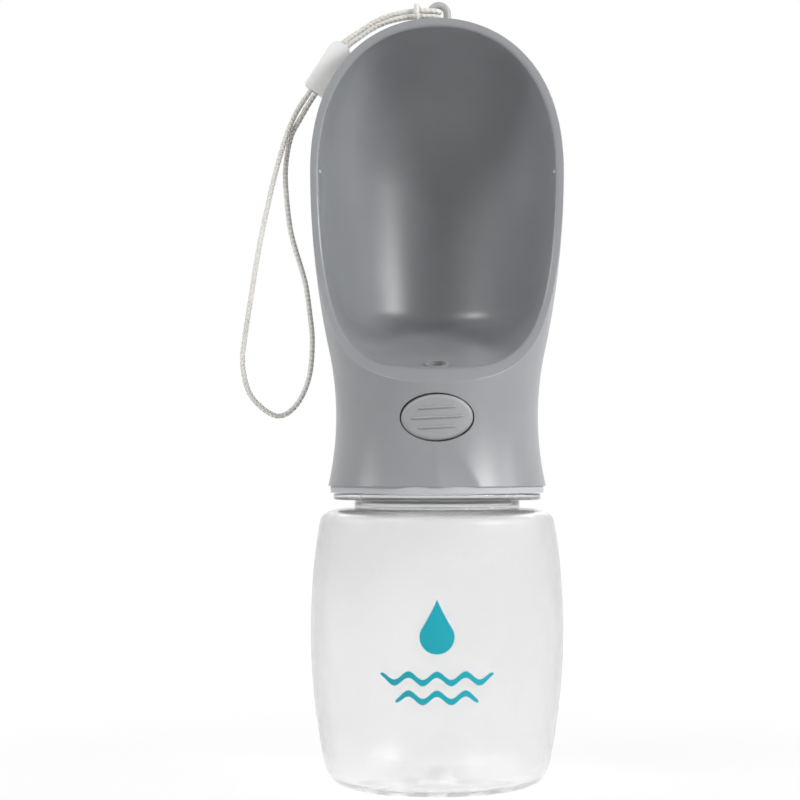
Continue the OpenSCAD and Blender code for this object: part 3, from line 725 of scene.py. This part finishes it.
inside_rings = [level_ring(seat_r, skirt_z), level_ring(seat_r, seat_top_z)]
roof_edge = ceiling(bearing[:, 1] * (waist_r - skirt_wall))
for share in np.linspace(0.1, 1, 8):
    z = seat_top_z + (roof_edge - seat_top_z) * share
    inside_rings.append(level_ring(head_radius(z, skirt_wall), z))
edge = inside_rings[-1]
for share in np.linspace(0.9, 0, 8):
    ring = edge * (share, share, 1)
    ring[:, 2] = ceiling(ring[:, 1])
    inside_rings.append(ring)
print(len(inside_rings), "rings inside the skirt")

# %% Loft the head and round its rim
places_per_mm = 20
head = lofted("head_hood", bowl + outside + inside_rings)


def select_loop(piece, ring):
    """Selects the edges that lie on a ring, by their place to a twentieth of a millimetre."""
    places = {tuple(np.round(p * places_per_mm).astype(int)) for p in ring}
    make_active(piece)
    edit_all()
    bpy.ops.mesh.select_all(action="DESELECT")
    bpy.ops.mesh.select_mode(type="EDGE")
    mesh = bmesh.from_edit_mesh(piece.data)
    for edge in mesh.edges:
        ends = [np.round(np.array(v.co) / MM * places_per_mm) for v in edge.verts]
        edge.select_set(all(tuple(end.astype(int)) in places for end in ends))
    bmesh.update_edit_mesh(piece.data)


for ring, width in ((outside[0], 1.25), (bowl[-1], 1.0)):
    select_loop(head, ring)
    bpy.ops.mesh.bevel(offset=width * MM, segments=6, affect="EDGES", clamp_overlap=True)
    bpy.ops.object.mode_set(mode="OBJECT")
print("rim rounded", len(head.data.polygons), "faces")


# %% Cut the button hole and the outlet
def oval_bar(name, width, height, z, y_from, y_to, vertices=96):
    """An oval bar along y, made from a circle that is stretched and extruded."""
    deselect()
    bpy.ops.mesh.primitive_circle_add(
        vertices=vertices, radius=0.5, fill_type="NGON", location=(0, y_from * MM, z * MM),
        rotation=(math.radians(90), 0, 0),
    )
    bar = bpy.context.object
    bar.name = name
    bar.scale = (width * MM, height * MM, 1)
    bpy.ops.object.transform_apply(location=True, rotation=True, scale=True)
    edit_all()
    along_y = (0, (y_to - y_from) * MM, 0)
    bpy.ops.mesh.extrude_region_move(TRANSFORM_OT_translate={"value": along_y})
    close_up()
    return bar


button_z, button_w, button_h, button_gap = 101.2, 19.4, 12.5, 0.25
outlet_y, outlet_z, bush_r, bush_cut, bush_lean = 20.5, 115.64, 3.2, 12, math.radians(19)
hole = oval_bar(
    "hole", button_w + 2 * button_gap, button_h + 2 * button_gap, button_z,
    y_from=-20, y_to=-40,
)
cut(head, hole)
deselect()
bpy.ops.mesh.primitive_cylinder_add(
    vertices=64, radius=bush_r * MM, depth=bush_cut * MM,
    location=(0, -outlet_y * MM, outlet_z * MM), rotation=(bush_lean, 0, 0),
)
cut(head, bpy.context.object)
smooth(head, 32)
hand_in(head, grey_plastic, "head", "grey_plastic", "head_shell")

# %% Pips inside the rim
pip_r, pip_z, pip_depth = 0.55, 169.8, 1.7
for side, side_name in ((-1, "left"), (1, "right")):
    edge = min((p for p in bowl[-1] if p[0] * side > 0), key=lambda p: abs(p[2] - pip_z))
    deselect()
    bpy.ops.mesh.primitive_uv_sphere_add(
        segments=20, ring_count=12, radius=pip_r * MM,
        location=(edge[0] * MM, (edge[1] + pip_depth) * MM, pip_z * MM),
    )
    pip = bpy.context.object
    pip.name = f"rim_pip_{side_name}"
    bpy.ops.object.transform_apply(location=True, rotation=True, scale=True)
    smooth(pip, 60)
    hand_in(pip, ring_plastic, "head", "grey_plastic")
    print(pip.name, "at", np.round(edge, 1))

# %% [markdown]
# ## Bottle
# A blown bottle is round, with a wall of even thickness, so half of its section is drawn as one
# closed line, outside and inside, and spun. The base is pushed up behind its foot ring, so that
# it stands steady, with a small bell in the middle and faint petals round it. The screw thread
# is two ridges that climb round the neck, so each is lofted along a helix.

# %% Bottle section
bottle_r, barrel_mid_z, barrel_arc_r = 35, 43, 182
corner_z, shoulder_z, foot_r, foot_w = 8.5, 72.6, 25, 3.5
push_up_h, push_up_rise, bell_r = 3, 1, 5.5
foot_pull, corner_pull, shoulder_pull, neck_pull = 4.5, 4, 3, 6
side_points, base_points, bend_points = 40, 24, 18
bottle_wall, neck_r, neck_base_z, neck_top_z = 1.6, 22.9, 76.6, 90.2
flange_r, flange_z, flange_t = 28.7, 79, 1.6


def barrel_radius(z):
    """Outer radius of the barrel at height z."""
    return bottle_r - barrel_arc_r + np.sqrt(barrel_arc_r**2 - (z - barrel_mid_z) ** 2)


def bottle_line(wall):
    """Half section of the bottle from the middle of its base to the foot of its neck."""
    z = np.linspace(corner_z, shoulder_z, side_points)
    low_r, high_r = barrel_radius(corner_z) - wall, barrel_radius(shoulder_z) - wall
    low_lean = (barrel_mid_z - corner_z) / barrel_arc_r
    high_lean = (shoulder_z - barrel_mid_z) / barrel_arc_r
    out = np.linspace(0, foot_r - foot_w, base_points)
    bell = (push_up_h - push_up_rise) * np.exp(-((out / bell_r) ** 4))
    push_up = np.stack([out, wall + (push_up_rise * (1 - (out / out[-1]) ** 2) + bell)], 1)
    corner = cubic(
        (foot_r, wall), (foot_r + foot_pull, wall),
        (low_r - low_lean * corner_pull, corner_z - corner_pull), (low_r, corner_z),
        bend_points,
    )
    shoulder = cubic(
        (high_r, shoulder_z), (high_r - high_lean * shoulder_pull, shoulder_z + shoulder_pull),
        (neck_r + neck_pull - wall, neck_base_z - wall), (neck_r - wall, neck_base_z - wall),
        bend_points,
    )
    side = np.stack([barrel_radius(z) - wall, z], 1)
    return np.vstack([push_up, corner[:-1], side, shoulder[1:]])


neck = [
    (neck_r, flange_z), (flange_r, flange_z), (flange_r, flange_z + flange_t),
    (neck_r, flange_z + flange_t), (neck_r, neck_top_z), (neck_r - bottle_wall, neck_top_z),
]
section = np.vstack([bottle_line(0), neck, bottle_line(bottle_wall)[::-1]])
print("bottle section of", len(section), "points")

# %% Spinning the section
spin_steps = 160
deselect()
bpy.ops.mesh.primitive_circle_add(vertices=len(section), radius=1)
bottle = bpy.context.object
bottle.name = "bottle_clear"
for vertex, (radius, height) in zip(bottle.data.vertices, section):
    vertex.co = (radius * MM, 0, height * MM)
edit_all()
bpy.ops.mesh.spin(
    steps=spin_steps, angle=math.radians(360), center=(0, 0, 0), axis=(0, 0, 1),
    use_auto_merge=False,
)
close_up()
print("bottle spun", len(bottle.data.polygons), "faces")

# %% Petals of the base and rounded edges
petals, petal_h, base_h = 14, 0.05, 6
for vertex in bottle.data.vertices:
    radius = math.hypot(vertex.co.x, vertex.co.y) / MM
    if vertex.co.z / MM < base_h and radius < foot_r - foot_w:
        swell = math.sin(math.pi * radius / (foot_r - foot_w)) ** 2
        angle = math.atan2(vertex.co.y, vertex.co.x)
        vertex.co.z += petal_h * MM * swell * math.cos(petals * angle)
soften(bottle, 0.25, segments=2, angle=40)
print("bottle", len(bottle.data.polygons), "faces")

# %% Screw thread
thread_h, thread_w, lead, starts = 1.0, 1.5, 6.0, 2
thread_turns, thread_z = 0.85, 82.0
thread_root, thread_sink, thread_fade = 0.3, 0.15, 12


def capped(rings):
    """The same rings, with each end drawn together in its middle."""
    first, last = ([np.mean(rings[k], 0)] * len(rings[k]) for k in (0, -1))
    return [first] + rings + [last]


def thread_ring(share, start):
    """Section of the ridge at this share of its run; it sinks into the neck at both ends."""
    turn = 2 * math.pi * (thread_turns * share + start / starts)
    z = thread_z + lead * thread_turns * share
    full = min(1, thread_fade * share, thread_fade * (1 - share))
    tall = thread_h * full - thread_sink * (1 - full)
    shape = (
        (-thread_root, -thread_w / 2), (tall, -thread_w / 4), (tall, thread_w / 4),
        (-thread_root, thread_w / 2),
    )
    return [
        ((neck_r + out) * math.cos(turn), (neck_r + out) * math.sin(turn), z + up)
        for out, up in shape
    ]


for start in range(starts):
    rings = [thread_ring(share, start) for share in np.linspace(0, 1, 90)]
    cut(bottle, lofted("thread", capped(rings)), "UNION")
smooth(bottle, 30)
hand_in(bottle, clear_plastic, "bottle_body", "clear_plastic", "bottle")

# %% [markdown]
# ### Print
# A plain decoration is printed on the front of the bottle: a drop over two waves of water. Ink
# has no thickness to speak of, but a texture would blur in close views, so each shape is a very
# thin solid that lies on the round wall. The drop is lofted upwards and each wave sideways.

# %% Drop and waves
ink_h, ink_sink = 0.06, 0.03


def on_wall(x, z, out):
    """A point on the front of the bottle, moved outward."""
    radius = barrel_radius(z) + out
    return (x, -math.sqrt(radius**2 - x**2), z)


def ink_ring(points):
    """A ring round a strip of ink: along its face, then back along its underside."""
    return [on_wall(x, z, ink_h) for x, z in points] + [
        on_wall(x, z, -ink_sink) for x, z in points[::-1]
    ]


drop_z, drop_r, drop_h, tip_from, tip_power = 43.5, 4.6, 14.5, 1.6, 1.15
rings = []
for share in np.linspace(0, 1, 60):
    z = drop_z - drop_r + drop_h * share
    round_half = math.sqrt(max(drop_r**2 - (z - drop_z) ** 2, 0))
    left = (drop_z + drop_h - drop_r - z) / (drop_h - drop_r - tip_from)
    tip_half = math.sqrt(drop_r**2 - tip_from**2) * max(left, 0) ** tip_power
    half = round_half if z < drop_z + tip_from else tip_half
    rings.append(ink_ring([(u * half, z) for u in np.linspace(-1, 1, 16)]))
drop = lofted("print_drop", rings)
teal_ink = moulded("teal ink", srgb(0, 168, 184), roughness=0.45, cloud=0.03)
hand_in(drop, teal_ink, "bottle_body", "clear_plastic")
wave_half_w, wave_h, wave_pitch, wave_end = 0.85, 1.1, 15.0, 9
for name, z, length in (("print_wave_upper", 32.5, 30.0), ("print_wave_lower", 27.5, 22.0)):
    rings = []
    for share in np.linspace(-1, 1, 100):
        x = share * length / 2
        half = wave_half_w * math.sqrt(max(1 - abs(share) ** wave_end, 0))
        middle = z + wave_h * math.cos(2 * math.pi * share * length / wave_pitch)
        rings.append(ink_ring([(x, middle + u * half) for u in (-1, -0.5, 0, 0.5, 1)]))
    wave = lofted(name, rings)
    hand_in(wave, teal_ink, "bottle_body", "clear_plastic")

# %% [markdown]
# ## Push button
# The button is an oval cap that follows the round wall, with a rounded edge, three grip ribs and
# a flange behind the wall that keeps it in. It is a stack of oval rings, so it is lofted, and
# the ribs are joined to it. It sits a few degrees askew in its hole, as the real one does.

# %% Oval cap
button_r, flange_front_r, button_back_r = 28.3, 25.6, 24.8
button_flange, edge_r, button_turn = 1.0, 1.1, math.radians(2.9)
oval_angles = np.linspace(0, 2 * math.pi, 96, endpoint=False)


def oval_ring(grow, radius, scale=1.0):
    """Ring of an oval grown by this much, laid on an upright cylinder of this radius."""
    x = scale * (button_w / 2 + grow) * np.cos(oval_angles)
    z = scale * (button_h / 2 + grow) * np.sin(oval_angles)
    c, s = math.cos(button_turn), math.sin(button_turn)
    x, z = c * x - s * z, s * x + c * z
    return np.stack([x, -np.sqrt(radius**2 - x**2), button_z + z], 1)


cap_rings = [oval_ring(-edge_r, button_r, scale) for scale in np.linspace(0, 1, 12)]
for angle in np.linspace(10, 90, 7):
    a = math.radians(angle)
    cap_rings.append(oval_ring(-edge_r * (1 - math.sin(a)), button_r - edge_r * (1 - math.cos(a))))
cap_rings += [
    oval_ring(0, flange_front_r), oval_ring(button_flange, flange_front_r),
    oval_ring(button_flange, button_back_r), oval_ring(0, button_back_r, 0.5),
    oval_ring(0, button_back_r, 0),
]
button = lofted("button_oval", cap_rings)
print("button", len(button.data.polygons), "faces")

# %% Grip ribs
rib_pitch, rib_w, rib_h, rib_sink, rib_end = 2.6, 0.74, 0.5, 0.07, 12


def rib(length, z):
    """A half-round bar along the face, tapering at its ends."""
    rings = []
    for share in np.linspace(-1, 1, 40):
        x = share * length / 2
        full = math.sqrt(max(1 - abs(share) ** rib_end, 0))
        px = x * math.cos(button_turn)
        face_y = -math.sqrt(button_r**2 - px**2)
        ring = []
        for a in np.linspace(0, 2 * math.pi, 16, endpoint=False):
            up, out = rib_w / 2 * math.cos(a) * full, rib_h * math.sin(a) * full
            pz = z + up + x * math.sin(button_turn)
            ring.append((px, face_y + rib_sink - out, button_z + pz))
        rings.append(ring)
    return lofted("rib", rings)


short_rib, long_rib = 10.3, 14.6
for length, z in ((short_rib, rib_pitch), (long_rib, 0), (short_rib, -rib_pitch)):
    cut(button, rib(length, z), "UNION")
smooth(button, 40)
hand_in(button, button_plastic, "button", "button_grey_plastic", "button_cap")

# %% [markdown]
# ## Cord slider
# The slider is a flat sleeve that both strands of the cord run through. It starts as a cube. Its
# two upper corners get a large round, its lower ones a smaller one and its other edges a slight
# one, and one slot is cut from end to end.

# %% Sleeve
slider_size, slider_at, slider_lean = (6.2, 3.5, 15.7), (-30.37, 6, 199.8), math.radians(33.4)
upper_round, lower_round, edge_round = 2.4, 0.8, 0.35
slot_w, strand_x = 1.9, 0.85
deselect()
bpy.ops.mesh.primitive_cube_add(size=1)
slider = bpy.context.object
slider.name = "slider_sleeve"
slider.scale = [s * MM for s in slider_size]
bpy.ops.object.transform_apply(location=True, rotation=True, scale=True)
for upward, width in ((True, upper_round), (False, lower_round)):
    edit_all()
    bpy.ops.mesh.select_all(action="DESELECT")
    bpy.ops.mesh.select_mode(type="EDGE")
    mesh = bmesh.from_edit_mesh(slider.data)
    for edge in mesh.edges:
        a, b = (v.co / MM for v in edge.verts)
        along_y = abs(a.y - b.y) > slider_size[1] - 0.5
        edge.select_set(along_y and (a.z > 0) == upward and abs(a.x) > slider_size[0] / 3)
    bmesh.update_edit_mesh(slider.data)
    bpy.ops.mesh.bevel(offset=width * MM, segments=8, affect="EDGES")
    bpy.ops.object.mode_set(mode="OBJECT")
slot = oval_bar("slot", slot_w, slot_w, 0, y_from=-10, y_to=10, vertices=32)
for vertex in slot.data.vertices:
    x, y, z = vertex.co
    vertex.co = (x + math.copysign(strand_x * MM, x), z, y)
close_up()
cut(slider, slot)
soften(slider, edge_round, segments=3, angle=40)
make_active(slider)
slider.rotation_euler = (0, slider_lean, 0)
slider.location = [v * MM for v in slider_at]
bpy.ops.object.transform_apply(location=True, rotation=True, scale=True)
smooth(slider, 20)
hand_in(slider, sleeve_plastic, "slider", "white_plastic", "cord_slider")

# %% [markdown]
# ## Eye on the crown
# The eye is a bent rod, so it is lofted from rings of the rod: up one leg, half a turn round the
# arch and down the other leg. Both legs run into the crown, where a small flare joins them to it.

# %% Arch and legs
eye_x, eye_y, arch_r, rod_r, arch_z, leg_h = 0.5, 4.0, 2.35, 1.05, 214.6, 5
flare_from, flare_to, flare_gain, flare_most = 2.6, 4.4, 0.55, 1.33
rod = np.linspace(0, 2 * math.pi, 24, endpoint=False)


def rod_ring(along):
    """Ring of the rod: on one leg for along below 0, round the arch, on the other past 1."""
    turn = math.pi * min(max(along, 0), 1)
    down = max(-along, along - 1, 0) * leg_h
    flare = flare_gain * max(down - flare_from, 0) ** 1.5 if down < flare_to else flare_most
    radius = rod_r + flare
    across = arch_r + radius * np.cos(rod)
    return np.stack([
        eye_x + across * math.cos(turn), eye_y + radius * np.sin(rod),
        arch_z + across * math.sin(turn) - down,
    ], 1)


legs = np.linspace(-0.88, -0.05, 8), np.linspace(1.05, 1.88, 8)
shares = np.concatenate([legs[0], np.linspace(0, 1, 24), legs[1]])
eye = lofted("eye_arch", capped([rod_ring(share) for share in shares]))
smooth(eye, 50)
hand_in(eye, eye_plastic, "head", "light_grey_plastic", "lanyard_eye")

# %% [markdown]
# ## Parts that keep their CAD shape
# The solids of the closure, its gasket, the outlet bush and the valve already have the right
# shape. They only get their finishes.

# %% Finishes on CAD nodes
finishes = {
    "closure_gasket": silicone, "inner_cap": ring_plastic, "outlet_bush": grey_silicone,
    "valve_stem": white_plastic, "stem_o_ring": rubber, "gland_washer": light_plastic,
    "valve_seal": silicone, "spring_cup": white_plastic, "stem_clip": steel,
    "return_spring": steel, "barrel_cap": light_plastic, "barrel_cap_o_ring": rubber,
}
for name, look in finishes.items():
    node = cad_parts[name]
    node.data.materials.clear()
    node.data.materials.append(look)
print(len(finishes), "CAD nodes finished")
